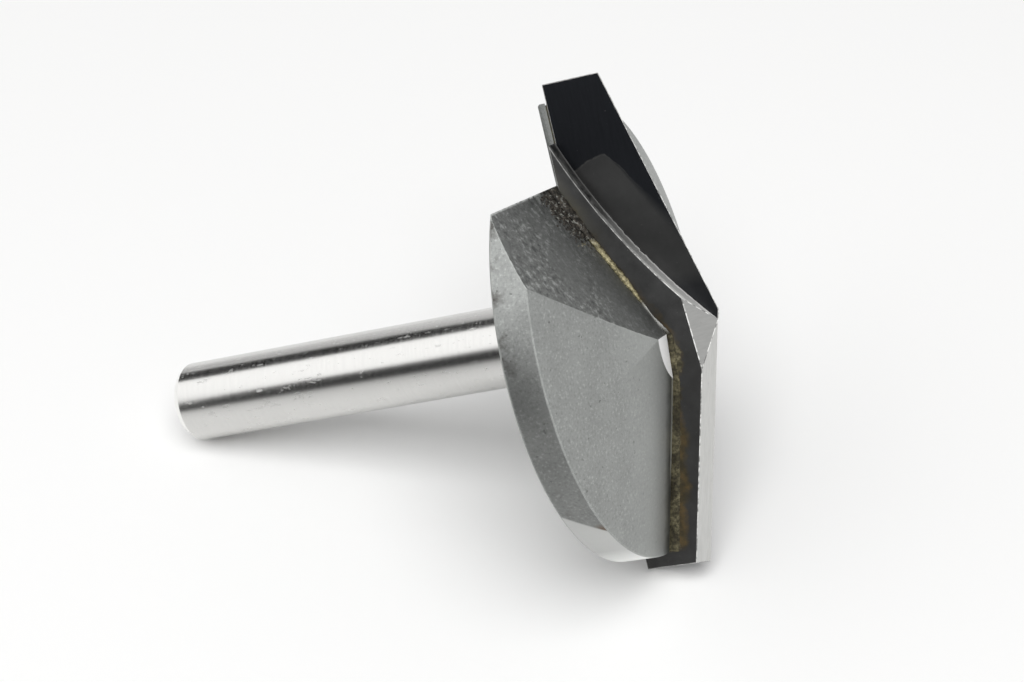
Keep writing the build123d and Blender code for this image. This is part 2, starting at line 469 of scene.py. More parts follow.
def stained_flute(colours, slot_half):
    """The flute's floor: dark blasted steel, coarse in places, with burnt flux near the seam."""
    finish = Finish("stained_flute_steel", 0.55)
    steel = Vector(colours.head_steel)
    base, fine = blasted(finish, steel, 0.6, 0.72)
    coarse = finish.grain(1900, detail=4, rough=0.75)
    zone = finish.patches(230, 0.4, 0.55, 0.25, 1, detail=3)
    outer = finish.ramp(finish.maths("ABSOLUTE", finish.y), 0.0045, 0.0085)
    far_corner = finish.ramp(finish.maths("ABSOLUTE", finish.x), 0.004, 0.009)
    coarse_zone = finish.maths("MAXIMUM", outer, far_corner)
    zone = finish.times(zone, finish.ramp(coarse_zone, 0, 1, 0.35, 1))
    light = finish.times(finish.ramp(coarse, 0.54, 0.62), zone)
    dark = finish.times(finish.ramp(coarse, 0.36, 0.48, 1, 0), zone)
    base = finish.mix(light, base, steel * 1.3)
    base = finish.mix(dark, base, steel * 0.33)
    off_slot = finish.minus(finish.maths("ABSOLUTE", finish.x), slot_half)
    near = finish.ramp(off_slot, 0.0003, 0.0036, 1, 0)
    burnt = finish.times(near, outer)
    flecks = finish.grain(1700, detail=5, rough=0.75)
    strength = finish.times(flecks, finish.ramp(burnt, 0, 1, 0.75, 1.6))
    crust = finish.times(finish.ramp(strength, 0.52, 0.66), finish.ramp(burnt, 0, 0.3))
    browned = finish.patches(1100, 0.42, 0.6)
    browned = finish.mix(browned, (0.035, 0.033, 0.03), (0.1, 0.088, 0.072))
    pale = finish.patches(2600, 0.56, 0.64, 0, 0.75, detail=3)
    browned = finish.mix(pale, browned, (0.3, 0.3, 0.28))
    finish.set("Base Color", finish.mix(crust, base, browned))
    bumps = finish.plus(finish.times(coarse, zone), crust)
    height = finish.plus(finish.times(bumps, 1.6), finish.times(fine, 0.5))
    finish.relief(height, 0.00003, 0.0001)
    return finish.material


def faced_nose(colours):
    """Steel beside the point, faced to a fine matt, and painted near-white: part faced finish, part
    painted reflection of the bright surroundings.
    """
    # Painted reflection: a near-white matt colour stands for the bright surroundings mirrored in the
    # faced steel
    finish = Finish("faced_nose_with_painted_reflection", 0.6, metallic=0.1)
    lines = finish.grain(900, (8, 1, 1), detail=2)
    steel = Vector(colours.faced_steel_and_reflection)
    finish.set("Base Color", finish.mix(lines, steel * 0.95, steel))
    finish.relief(lines, 0.0000006)
    return finish.material


def polished_rake(colours):
    """The rake face: polished near-black outside, with the duller skin left inside."""
    finish = Finish("rake_face_carbide", 0.3, metallic=0.9)
    # How far from the axis the polish reaches, against height over the head's back
    tallest, widest = 10.0, 20.0
    reached = [
        (0.0, 12.5), (1.07, 12.37), (1.41, 12.07), (2.13, 12.32), (2.89, 12.71), (4.12, 13.0),
        (4.35, 12.95), (5.3, 11.85), (6.17, 10.46), (7.38, 8.77), (10.0, 5.0),
    ]
    height = finish.over(finish.z, tallest * MM)
    edge = finish.add("ShaderNodeFloatCurve", {"Value": height})
    curve = edge.mapping.curves[0]
    curve.points[0].location = (reached[0][0] / tallest, reached[0][1] / widest)
    curve.points[1].location = (reached[-1][0] / tallest, reached[-1][1] / widest)
    for rise, out in reached[1:-1]:
        curve.points.new(rise / tallest, out / widest)
    for point in curve.points:
        point.handle_type = "VECTOR"
    edge.mapping.update()
    limit = finish.times(edge.outputs[0], widest * MM)
    inside = finish.minus(limit, finish.maths("ABSOLUTE", finish.y))
    wander = finish.patches(900, 0, 1, -0.00018, 0.00018)
    inside = finish.plus(inside, wander)
    softness = finish.ramp(finish.z, 0.0045, 0.009, 0.00006, 0.0016)
    skin = finish.ramp(finish.over(inside, softness), -0.3, 1.0)
    line = finish.times(finish.ramp(inside, -0.0001, 0.0), finish.ramp(inside, 0.00003, 0.00012, 1, 0))
    line = finish.times(line, finish.patches(1300, 0.4, 0.6, 0.3, 0.9))
    line = finish.times(line, finish.ramp(finish.z, 0.0042, 0.0068, 1, 0))
    streaks = finish.grain(500, (1, 1, 9), detail=3)
    carbide = Vector(colours.rake_carbide)
    dark = finish.mix(streaks, carbide * 0.8, carbide * 1.2)
    clouds = finish.patches(420, 0.3, 0.7, detail=4)
    skin_tone = Vector(colours.bare_carbide)
    base = finish.mix(skin, dark, finish.mix(clouds, skin_tone * 1.05, skin_tone * 1.3))
    specks = finish.patches(3400, 0.71, 0.77, 0, 0.4, detail=2)
    base = finish.mix(specks, base, (0.2, 0.2, 0.2))
    base = finish.mix(line, base, (0.13, 0.13, 0.125))
    near_point = finish.ramp(finish.maths("ABSOLUTE", finish.y), 0.002, 0.0032, 0.7, 0)
    base = finish.mix(near_point, base, dark)
    # Edges painted near-white: partly chipped edges, partly a painted highlight where the rounded edge
    # mirrors the sky
    finish.set("Base Color", finish.mix(finish.edges(0.00009), base, (0.85, 0.85, 0.83)))
    finish.relief(finish.grain(4000, detail=3), 0.0000015, 0.00008)
    return finish.material


def braze_grains(finish, colours, grains):
    """Braze with burnt flux over it: dull gold grains, in patches that are cleaner or darker."""
    patches = finish.patches(750, 0.4, 0.6, detail=3)
    flux = finish.mix(patches, colours.braze_flux, Vector(colours.braze_gold) * 0.13)
    clean = finish.mix(patches, Vector(colours.braze_gold) * 0.13, Vector(colours.braze_gold) * 0.4)
    return finish.mix(finish.ramp(grains, 0.42, 0.62), flux, clean)


def stained_back(colours, body, plates):
    """The plate's back: dark skin, with the braze's gold grains, brown stain and pale haze."""
    finish = Finish("plate_back_carbide", 0.42, metallic=0.5)
    outward = finish.outward()
    rise = tan(body.flute_slope)
    fall = tan(pi / 2 - plates.included_angle / 2)
    tip = body.rim_height + body.head_diameter / 2 * fall
    flute = finish.times(finish.plus(outward, body.flute_reach), rise)
    cone = finish.minus(tip, finish.times(outward, fall))
    seam = finish.maths("MINIMUM", flute, finish.maths("MINIMUM", cone, tip - body.nose_depth))
    above = finish.minus(finish.z, seam)
    wander = finish.patches(600, 0.25, 0.75, -0.0004, 0.0004, detail=5, rough=0.7)
    ragged = finish.plus(above, wander)
    skin_tone = Vector(colours.bare_carbide)
    skin = finish.mix(finish.patches(600, 0.3, 0.7), skin_tone * 0.65, skin_tone * 1.1)
    skin = finish.mix(finish.ramp(outward, -0.002, 0.003, 0, 0.5), skin, (0.022, 0.021, 0.02))
    specks = finish.patches(2400, 0.7, 0.76, 0, 0.45, stretch=(1, 2, 2), detail=3)
    skin = finish.mix(specks, skin, (0.24, 0.24, 0.22))
    # A pale haze over the heel, then brown that reaches further towards the rim
    heel = finish.ramp(outward, -0.0062, -0.0095)
    haze = finish.times(heel, finish.ramp(ragged, 0.0005, 0.0016, 0.75, 0))
    skin = finish.mix(haze, skin, (0.15, 0.145, 0.12))
    on_head = finish.ramp(outward, 0.0171, 0.0176, 1, 0)
    brown_reach = finish.ramp(outward, 0.0065, 0.0092, 0.0006, 0.0014)
    brown = finish.ramp(finish.minus(ragged, brown_reach), -0.00035, 0.0001, 0.85, 0)
    cutting_side = finish.ramp(outward, -0.0012, 0.0014, 0.35, 1)
    brown = finish.times(finish.times(brown, cutting_side), on_head)
    browns = finish.patches(900, 0.35, 0.65, detail=4)
    browns = finish.mix(browns, (0.045, 0.037, 0.018), (0.15, 0.1, 0.038))
    base = finish.mix(brown, skin, browns)
    grains = finish.grain(3000, detail=4, rough=0.7)
    gold = braze_grains(finish, colours, grains)
    gold_reach = finish.ramp(outward, 0.004, 0.016, 0.0005, 0.00068)
    strip = finish.ramp(finish.minus(ragged, gold_reach), -0.0001, 0.00006, 1, 0)
    strip = finish.times(strip, finish.ramp(outward, 0.0005, 0.0014))
    base = finish.mix(finish.times(strip, on_head), base, gold)
    # Edges painted pale in patches: partly worn edges, partly a painted highlight
    edges = finish.times(finish.edges(0.00008), finish.patches(900, 0.4, 0.6, 0.3, 0.9))
    finish.set("Base Color", finish.mix(edges, base, (0.5, 0.5, 0.48)))
    finish.relief(finish.plus(grains, finish.grain(1300, detail=4)), 0.00001, 0.00006)
    return finish.material


def ground_land(colours, name, share, stretch, turn=0.3):
    """Carbide that a wheel has ground, with its lines along the stretch's low axis."""
    finish = Finish(name, turn)
    lines = finish.grain(700, stretch, detail=4)
    tone = Vector(colours.ground_carbide) * share
    base = finish.mix(finish.ramp(lines, 0.3, 0.7), tone * 0.92, tone * 1.04)
    base = finish.mix(finish.patches(2400, 0.7, 0.76, 0, 0.35, detail=2), base, tone * 0.6)
    # Edges painted brighter: partly worn edges, partly a painted highlight
    finish.set("Base Color", finish.mix(finish.edges(0.00007), base, tone * 1.5))
    finish.relief(lines, 0.0000014, 0.00006)
    return finish.material


def worn_and_glinting_edge(colours):
    """Edges that wear has made bright, painted brighter still as a highlight, duller towards the plate's
    foot: part wear, part painted highlight.
    """
    finish = Finish("worn_and_glinting_edge_carbide", 0.5, metallic=0.2)
    spots = finish.patches(2100, 0.42, 0.56, detail=4)
    tone = Vector(colours.ground_carbide)
    low = finish.ramp(finish.z, 0.002, 0.008, 0.2, 1)
    worn = finish.mix(finish.times(spots, low), tone * 0.3, tone * 1.5)
    finish.set("Base Color", worn)
    return finish.material


def hollow_ground_end(colours, plates):
    """The plate's hollow inner end: mottled grey, lighter towards the point, with painted highlights
    along its two long edges.
    """
    finish = Finish("hollow_end_carbide", 0.5, metallic=0.15)
    finish.set("Specular IOR Level", 0.2)
    depth = finish.over(finish.maths("ABSOLUTE", finish.x), plates.thickness)
    lines = finish.grain(1100, (6, 1, 1), detail=4)
    blotches = finish.grain(1300, detail=5, rough=0.7)
    wander = finish.ramp(blotches, 0.3, 0.7, -0.09, 0.09)
    # Painted highlights along the two long edges, fainter towards the heel
    front = finish.ramp(finish.plus(depth, wander), 0.15, 0.22, 1, 0)
    back = finish.ramp(finish.plus(depth, wander), 0.68, 0.76, 0, 0.55)
    bright = finish.maths("MAXIMUM", front, back)
    bright = finish.times(bright, finish.ramp(finish.z, 0.0025, 0.009, 0.12, 1))
    tone = Vector(colours.ground_carbide)
    middle = finish.mix(finish.ramp(blotches, 0.42, 0.66), tone * 0.02, tone * 0.14)
    near_point = finish.ramp(finish.z, 0.003, 0.0095)
    middle = finish.mix(finish.times(near_point, 0.9), middle, tone * 1.1)
    finish.set("Base Color", finish.mix(bright, middle, tone * 1.4))
    finish.relief(finish.plus(lines, blotches), 0.000006)
    return finish.material


def lumpy_braze(colours, body, plates):
    """Braze: a clean gold streak on the flute, burnt flux at the heel, gold grains on the cone."""
    finish = Finish("lumpy_braze", 0.42, metallic=0.7)
    along = finish.outward()
    heel = finish.ramp(along, -0.63 * body.flute_reach, -0.56 * body.flute_reach, 1, 0)
    upper = finish.ramp(along, -0.17 * body.flute_reach, -0.11 * body.flute_reach)
    cone = finish.ramp(along, 0.0002, 0.001)
    lumps = finish.patches(2100, 0.38, 0.62, detail=5, rough=0.7)
    gold = Vector(colours.braze_gold)
    streak = finish.mix(lumps, gold * 0.3, gold * 1.4)
    off_back = finish.minus(finish.maths("ABSOLUTE", finish.x), plates.thickness)
    wander = finish.patches(1100, 0.3, 0.7, -0.0001, 0.0001)
    scorched = finish.ramp(finish.plus(off_back, wander), 0.00008, 0.00018, 0.85, 0)
    streak = finish.mix(scorched, streak, (0.06, 0.045, 0.02))
    grains = finish.grain(3600, detail=4, rough=0.75)
    crust = finish.mix(finish.ramp(grains, 0.45, 0.62), (0.03, 0.028, 0.025), (0.11, 0.096, 0.078))
    pale = finish.patches(2600, 0.56, 0.64, 0, 0.85, detail=3)
    crust = finish.mix(pale, crust, (0.34, 0.34, 0.31))
    base = finish.mix(heel, streak, crust)
    off_line = finish.ramp(off_back, 0.00004, 0.00008)
    pale_line = finish.mix(off_line, (0.008, 0.008, 0.008), (0.5, 0.5, 0.48))
    base = finish.mix(upper, base, pale_line)
    finish.set("Base Color", finish.mix(cone, base, braze_grains(finish, colours, grains)))
    finish.relief(finish.plus(grains, lumps), 0.00004)
    return finish.material


def steps_between(points):
    """The edges that join points in their order."""
    return [(i, i + 1) for i in range(len(points) - 1)]


def profile_mesh(points):
    """An open line of points (radius, height) in the plane that a lathe tool follows."""
    mesh = bpy.data.meshes.new("lathe_profile")
    mesh.from_pydata([(r, 0, z) for r, z in points], steps_between(points), [])
    return mesh


def lathe_tree():
    """Rounds a profile's corners and turns it about the vertical axis."""
    inputs = [("Segments", "Int"), ("Edge rounding", "Float"), ("Finish", "Material")]
    nodes = GrowthTree("Turn on lathe", inputs)
    line = nodes.result("GeometryNodeMeshToCurve", {"Mesh": nodes.inputs["Geometry"]})
    rounding = {"Curve": line, "Count": 3, "Radius": nodes.inputs["Edge rounding"], "Limit Radius": True}
    rounded = nodes.result("GeometryNodeFilletCurve", rounding, mode="POLY")
    profile = nodes.result("GeometryNodeCurveToMesh", {"Curve": rounded})
    values = {"Geometry": profile}
    count = nodes.result("GeometryNodeAttributeDomainSize", values, component="MESH")
    turns = nodes.plus(nodes.inputs["Segments"], 1.0)
    sheet = nodes.result("GeometryNodeMeshGrid", {"Vertices X": count, "Vertices Y": turns})
    index = nodes.result("GeometryNodeInputIndex")
    row = nodes.maths("FLOOR", nodes.over(nodes.plus(index, 0.5), turns))
    step = nodes.minus(index, nodes.times(row, turns))
    around = nodes.times(nodes.over(step, nodes.inputs["Segments"]), 2 * pi)
    position = nodes.result("GeometryNodeInputPosition")
    values = {"Geometry": profile, "Value": position, "Index": row}
    point = nodes.result("GeometryNodeSampleIndex", values, data_type="FLOAT_VECTOR")
    parts = nodes.add("ShaderNodeSeparateXYZ", {0: point})
    x = nodes.times(parts.outputs[0], nodes.maths("COSINE", around))
    y = nodes.times(parts.outputs[0], nodes.maths("SINE", around))
    place = nodes.result("ShaderNodeCombineXYZ", {0: x, 1: y, 2: parts.outputs[2]})
    turned = nodes.result("GeometryNodeSetPosition", {"Geometry": sheet, "Position": place})
    values = {"Geometry": turned, "Distance": 1e-7}
    return nodes.end(nodes.result("GeometryNodeMergeByDistance", values))


def prism(outline, low, high, frame_matrix):
    """A cutter: an outline in a blade's plane, drawn through from low to high."""
    mesh = bpy.data.meshes.new("cutter")
    bm = bmesh.new()
    bottom = [bm.verts.new((a, b, low)) for a, b in outline]
    top = [bm.verts.new((a, b, high)) for a, b in outline]
    bm.faces.new(bottom)
    bm.faces.new(top)
    for i in range(len(outline)):
        j = (i + 1) % len(outline)
        bm.faces.new((bottom[i], bottom[j], top[j], top[i]))
    bmesh.ops.recalc_face_normals(bm, faces=bm.faces)
    bm.transform(frame_matrix)
    bm.to_mesh(mesh)
    bm.free()
    return mesh


def blade_axes(side):
    """A blade's axes on the bit: outwards along its edge, to the point, to the plate's back."""
    way = 1 if side == "upper" else -1
    return Matrix(((0, 0, way, 0), (way, 0, 0, 0), (0, 1, 0, 0), (0, 0, 0, 1)))


class BIT_OT_turn_body(bpy.types.Operator):
    """Turn the shank and head on the lathe, then mill flutes, nose and slot"""

    bl_idname = "router_bit.turn_body"
    bl_label = "Turn body"

    def profile(self, sizes, tip):
        """The lathe's line from the free end of the shank to the cone's tip."""
        shank = sizes.shank_diameter / 2
        head = sizes.head_diameter / 2
        neck = sizes.neck_radius
        steps = 14
        bearings = [i * pi / 2 / steps for i in range(steps + 1)]
        fillet = [(shank + neck * (1 - cos(a)), -neck * (1 - sin(a))) for a in bearings]
        return [
            (0, -sizes.shank_length),
            (shank - sizes.chamfer_depth, -sizes.shank_length),
            (shank, sizes.chamfer_length - sizes.shank_length),
            *fillet,
            (head - sizes.rim_break, 0),
            (head, sizes.rim_break),
            (head, sizes.rim_height),
            (0, tip),
        ]

    def cutters(self, sizes, plates, tip):
        """Meshes that take away the flutes, the nose and the slot."""
        rise = tan(sizes.flute_slope)
        far = plates.cutting_diameter
        nose = tip - sizes.nose_depth
        fall = tan(sizes.nose_fall)
        half = plates.thickness + bpy.context.scene.bit_braze.film
        made = []
        for side in ("lower", "upper"):
            axes = blade_axes(side)
            flute = [
                (-far, rise * (sizes.flute_reach - far)),
                (far / rise / 2 - sizes.flute_reach, far / 2),
                (-far, far / 2),
            ]
            made.append(prism(flute, 0, far, axes))
            above = [(-far, nose + fall * far), (far, nose - fall * far), (far, far), (-far, far)]
            made.append(prism(above, -far, far, axes))
            # The slot is open through the head's back past the other flute's foot
            start, low, high = sizes.flute_reach, -sizes.slot_floor, 1.5 * sizes.slot_floor
            opening = [(start, low), (far, low), (far, high), (start, high)]
            made.append(prism(opening, 0.001 * half, 0.999 * half, axes))
        slot = [(-far, sizes.slot_floor), (far, sizes.slot_floor), (far, far), (-far, far)]
        made.insert(0, prism(slot, -half, half, blade_axes("upper")))
        return made

    def execute(self, context):
        scene = context.scene
        sizes, plates, colours = scene.bit_body, scene.bit_plates, scene.bit_finishes
        tip = sizes.rim_height + sizes.head_diameter / 2 * tan(pi / 2 - plates.included_angle / 2)
        slot_half = plates.thickness + scene.bit_braze.film
        finishes = [
            ground_shank(colours, sizes),
            blasted_head(colours, slot_half),
            reground_rim(colours, sizes),
            stained_flute(colours, slot_half),
            faced_nose(colours),
        ]
        values = {
            "Segments": sizes.segments,
            "Edge rounding": sizes.edge_rounding,
            "Finish": finishes[0],
        }
        mesh = grow(profile_mesh(self.profile(sizes, tip)), lathe_tree(), values)
        bm = bmesh.new()
        bm.from_mesh(mesh)
        bmesh.ops.recalc_face_normals(bm, faces=bm.faces)
        bm.to_mesh(mesh)
        bm.free()
        holder = placed("blank", mesh)
        tools = [placed("cutter", cutter) for cutter in self.cutters(sizes, plates, tip)]
        for tool in tools:
            cut = holder.modifiers.new("cut", "BOOLEAN")
            cut.operation = "DIFFERENCE"
            cut.solver = "EXACT"
            cut.object = tool
        mesh = baked(holder)
        for tool in tools:
            bpy.data.objects.remove(tool)
        mesh.materials.clear()
        for finish in finishes:
            mesh.materials.append(finish)
        self.spread_finishes(mesh, sizes, tip)
        mesh.transform(BIT)
        shade_flat_and_round(mesh)
        new_piece("turned_cutter_body", mesh, "cutter_body")
        return {"FINISHED"}

    def spread_finishes(self, mesh, sizes, tip):
        """Gives each face the finish of its surface."""
        head = sizes.head_diameter / 2
        nose = Vector((0, sin(sizes.nose_fall), cos(sizes.nose_fall)))
        flute = Vector((0, sin(sizes.flute_slope), cos(sizes.flute_slope)))
        low_nose = tip - sizes.nose_depth - 2 * MM
        for face in mesh.polygons:
            centre, normal = face.center, face.normal
            side = 1 if centre.x < 0 else -1
            facing = Vector((normal.x, normal.y * side, normal.z))
            radius = hypot(centre.x, centre.y)
            if centre.z < -0.2 * sizes.neck_radius:
                face.material_index = 0
            elif facing.dot(flute) > 0.9999:
                face.material_index = 3
            elif centre.z > low_nose and Vector((0, -facing.y, facing.z)).dot(nose) > 0.9999:
                face.material_index = 4
            elif radius > head * 0.98 and abs(normal.z) < 0.2:
                face.material_index = 2
            else:
                face.material_index = 1


class BIT_OT_grind_plates(bpy.types.Operator):
    """Cut both carbide plates, grind their lands and wear their edges"""

    bl_idname = "router_bit.grind_plates"
    bl_label = "Grind plates"

    def outline(self, side, sizes, body, point):
        """The plate on its rake face, with many points along the hollow inner end."""
        foot = body.slot_floor + bpy.context.scene.bit_braze.film
        radius = sizes.cutting_diameter / 2
        fall = tan(pi / 2 - sizes.included_angle / 2)
        inner = sizes.crossing if side == "lower" else -sizes.crossing
        tail = Vector((-sizes.tail, foot))
        corner = Vector((inner, point - fall * sizes.crossing))
        chord = corner - tail
        height = sqrt(sizes.wheel_radius**2 - (chord.length / 2) ** 2)
        centre = (tail + corner) / 2 + Vector((-chord.y, chord.x)).normalized() * height
        crest = [Vector((along, point - fall * along)) for along in (-radius, radius)]
        found = intersect_line_sphere_2d(*crest, centre, sizes.wheel_radius, False)
        top = min([p for p in found if p], key=lambda p: (p - corner).length)
        first = atan2(top.y - centre.y, top.x - centre.x)
        last = atan2(tail.y - centre.y, tail.x - centre.x)
        steps = 220
        arc = []
        for i in range(steps + 1):
            bearing = first + (last - first) * i / steps
            arc.append(centre + Vector((cos(bearing), sin(bearing))) * sizes.wheel_radius)
        return [Vector((radius, foot)), Vector((radius, point - fall * radius)), *arc]

    def execute(self, context):
        scene = context.scene
        sizes, body, colours = scene.bit_plates, scene.bit_body, scene.bit_finishes
        fall = tan(pi / 2 - sizes.included_angle / 2)
        radius = sizes.cutting_diameter / 2
        point = body.slot_floor + scene.bit_braze.film + sizes.side_height + radius * fall
        relief = tan(sizes.relief)
        drops = {"lower": sizes.lower_gash_drop, "upper": sizes.upper_gash_drop}
        finishes = [
            polished_rake(colours),
            stained_back(colours, body, sizes),
            ground_land(colours, "relief_land_carbide", 0.95, (9, 1, 1)),
            ground_land(colours, "gash_carbide", 0.6, (2, 9, 1)),
            hollow_ground_end(colours, sizes),
            worn_and_glinting_edge(colours),
        ]
        grinds = {
            "own": Vector((fall, 1, relief)),
            "other": Vector((-fall, 1, -relief)),
            "gash": Vector((-tan(sizes.gash_lean), 1, tan(sizes.gash))),
            "side": Vector((1, 0, tan(sizes.side_relief))),
        }
        for side in ("lower", "upper"):
            starts = {
                "own": Vector((0, point, 0)),
                "other": Vector((0, point, 0)),
                "gash": Vector((0, point - drops[side], 0)),
                "side": Vector((radius, 0, 0)),
            }
            block = prism(self.outline(side, sizes, body, point), 0, sizes.thickness, Matrix())
            bm = bmesh.new()
            bm.from_mesh(block)
            for name, normal in grinds.items():
                bmesh.ops.bisect_plane(
                    bm,
                    geom=bm.verts[:] + bm.edges[:] + bm.faces[:],
                    dist=1e-9,
                    plane_co=starts[name],
                    plane_no=normal,
                    clear_outer=True,
                )
                bmesh.ops.holes_fill(bm, edges=[e for e in bm.edges if e.is_boundary], sides=0)
            bmesh.ops.remove_doubles(bm, verts=bm.verts, dist=2e-5)
            bmesh.ops.recalc_face_normals(bm, faces=bm.faces)
            self.break_edges(bm, sizes)
            mesh = bpy.data.meshes.new(f"ground_plate_{side}")
            bm.to_mesh(mesh)
            bm.free()
            for finish in finishes:
                mesh.materials.append(finish)
            self.spread_finishes(mesh, grinds)
            self.chip(mesh, sizes, side)
            mesh.transform(BIT @ blade_axes(side))
            shade_flat_and_round(mesh, sharpness=6)
            new_piece(f"ground_plate_{side}", mesh, f"carbide_plate_{side}")
        return {"FINISHED"}

    def break_edges(self, bm, sizes):
        """Breaks the sharp edges."""
        sharp = [e for e in bm.edges if len(e.link_faces) == 2 and e.calc_face_angle() > radians(18)]
        bmesh.ops.bevel(
            bm,
            geom=sharp,
            offset=sizes.edge_wear,
            segments=1,
            profile=0.5,
            affect="EDGES",
            clamp_overlap=False,
        )

    def chip(self, mesh, sizes, side):
        """Chips the front edge of the hollow inner end, most of all half way along it."""
        seed = Vector((3.1, 0, 0)) if side == "lower" else Vector((7.7, 0, 0))
        rise = Vector((-0.52, 0.85, 0.0))
        middle = 5 * MM
        for vertex in mesh.vertices:
            place = vertex.co
            if vertex.normal.dot(rise) < 0.25 or place.x > 0 or place.z > sizes.thickness * 0.3:
                continue
            worst = max(0.0, 1 - abs(place.x + middle) / middle)
            patch = max(0.15, min(1.0, 0.5 + 2.5 * noise.noise(place * 420 + seed)))
            crumble = noise.noise(place * 2300 + seed) + 0.7 * noise.noise(place * 5200 + seed)
            vertex.co += rise * max(-0.8, min(crumble, 0.2)) * sizes.chip_depth * worst * patch

    def spread_finishes(self, mesh, grinds):
        """Gives each face the finish of the surface that it was ground on."""
        rake, back, land, gash, hollow, worn = range(6)
        known = [
            (Vector((0, 0, -1)), rake),
            (Vector((0, 0, 1)), back),
            (grinds["own"].normalized(), land),
            (grinds["other"].normalized(), land),
            (grinds["gash"].normalized(), gash),
            (grinds["side"].normalized(), land),
            (Vector((0, -1, 0)), back),
        ]
        for face in mesh.polygons:
            best, index = max((face.normal.dot(normal), index) for normal, index in known)
            if best > 0.998:
                face.material_index = index
            elif face.normal.x < -0.3 and abs(face.normal.z) < 0.35:
                face.material_index = hollow
            else:
                # Faces left by the bevel: worn edges with a painted highlight
                face.material_index = worn


def seam_stations(body, plates, braze):
    """The bead's line on a blade: along it, height, climb up the plate, spread on the steel."""
    fall = tan(pi / 2 - plates.included_angle / 2)
    rise = tan(body.flute_slope)
    reach = body.flute_reach
    head = body.head_diameter / 2
    tip = body.rim_height + head * fall
    nose = tip - body.nose_depth
    nose_end = (tip - nose) / (fall - tan(body.nose_fall))
    rim_end = sqrt(head**2 - (plates.thickness + braze.film) ** 2) - braze.film
    heel, streak, climb, film = braze.heel_spread, braze.streak_spread, braze.back_climb, braze.film
    on_flute = [
        (film - reach, heel * 0.7, heel),
        (-0.78 * reach, heel * 0.6, heel * 0.9),
        (-0.63 * reach, heel * 0.45, heel * 0.6),
        (-0.54 * reach, streak, streak * 1.1),
        (-0.3 * reach, streak * 1.1, streak),
        (-0.17 * reach, streak * 0.6, streak * 0.5),
        (-0.05 * reach, streak * 0.3, streak * 0.25),
        (nose / rise - reach, climb * 0.55, film),
    ]
    grown = ((0.4, 0.8), (0.7, 1.0), (1.0, 1.15))
    on_cone = [(share * rim_end, climb * growth, film) for share, growth in grown]
    stations = [(along, rise * (reach + along), up, out) for along, up, out in on_flute]
    stations.append((nose_end, nose - tan(body.nose_fall) * nose_end, climb * 0.7, film))
    return stations + [(along, tip - fall * along, up, out) for along, up, out in on_cone]


def carry(mesh, name, values):
    """Gives each point of a mesh a number of its own."""
    mesh.attributes.new(name, "FLOAT", "POINT").data.foreach_set("value", values)


def bead_tree():
    """Runs a lumpy bead along a line whose points carry its thickness and how far it stands out."""
    inputs = [
        ("Step", "Float"),
        ("Plate back", "Float"),
        ("Lump height", "Float"),
        ("Lump scale", "Float"),
        ("Seed", "Float"),
        ("Finish", "Material"),
    ]
    nodes = GrowthTree("Lay bead", inputs)
    line = nodes.result("GeometryNodeMeshToCurve", {"Mesh": nodes.inputs["Geometry"]})
    climb = nodes.carried("climb")
    thick = nodes.result("GeometryNodeSetCurveRadius", {"Curve": line, "Radius": climb})
    spacing = {"Curve": thick, "Length": nodes.inputs["Step"]}
    fine = nodes.result("GeometryNodeResampleCurve", spacing, mode="LENGTH")
    ring = nodes.result("GeometryNodeCurvePrimitiveCircle", {"Resolution": 22, "Radius": 1.0})
    tube = {"Curve": fine, "Profile Curve": ring, "Fill Caps": True}
    node = nodes.add("GeometryNodeCurveToMesh", tube)
    if "Scale" in node.inputs:
        radius = nodes.result("GeometryNodeInputRadius")
        nodes.tree.links.new(radius, node.inputs["Scale"])
    position = nodes.result("GeometryNodeInputPosition")
    parts = nodes.add("ShaderNodeSeparateXYZ", {0: position}).outputs
    flatness = nodes.carried("flatness")
    off_back = nodes.minus(parts[2], nodes.inputs["Plate back"])
    pressed = nodes.plus(nodes.inputs["Plate back"], nodes.times(off_back, flatness))
    place = nodes.result("ShaderNodeCombineXYZ", {0: parts[0], 1: parts[1], 2: pressed})
    flat = nodes.result("GeometryNodeSetPosition", {"Geometry": node.outputs[0], "Position": place})
    texture = {
        "Vector": position,
        "W": nodes.inputs["Seed"],
        "Scale": nodes.inputs["Lump scale"],
        "Detail": 4.0,
        "Roughness": 0.65,
    }
    lumps = nodes.result("ShaderNodeTexNoise", texture, noise_dimensions="4D")
    swell = nodes.times(nodes.minus(lumps, 0.5), nodes.inputs["Lump height"])
    thin = nodes.maths("MINIMUM", nodes.over(climb, 0.25 * MM), 1.0)
    swell = nodes.times(swell, thin)
    normal = nodes.result("GeometryNodeInputNormal")
    push = nodes.result("ShaderNodeVectorMath", {0: normal, "Scale": swell}, operation="SCALE")
    return nodes.end(nodes.result("GeometryNodeSetPosition", {"Geometry": flat, "Offset": push}))


def spatter_tree():
    """Scatters grains of spatter over a sheet, denser where its weight is high."""
    inputs = [("Density", "Float"), ("Largest grain", "Float"), ("Seed", "Int"), ("Finish", "Material")]
    nodes = GrowthTree("Scatter spatter", inputs)
    weight = nodes.carried("burnt")
    density = nodes.times(weight, nodes.inputs["Density"])
    values = {"Mesh": nodes.inputs["Geometry"], "Density": density, "Seed": nodes.inputs["Seed"]}
    points = nodes.result("GeometryNodeDistributePointsOnFaces", values)
    grain = nodes.result("GeometryNodeMeshIcoSphere", {"Radius": 0.5, "Subdivisions": 2})
    pick = {2: 0.15, 3: 1.0, "Seed": nodes.inputs["Seed"]}
    share = nodes.add("FunctionNodeRandomValue", pick, data_type="FLOAT").outputs[1]
    size = nodes.times(nodes.times(share, share), nodes.inputs["Largest grain"])
    scale = nodes.result("ShaderNodeCombineXYZ", {0: size, 1: size, 2: size})
    values = {"Points": points, "Instance": grain, "Scale": scale}
    return nodes.end(nodes.result("GeometryNodeInstanceOnPoints", values))


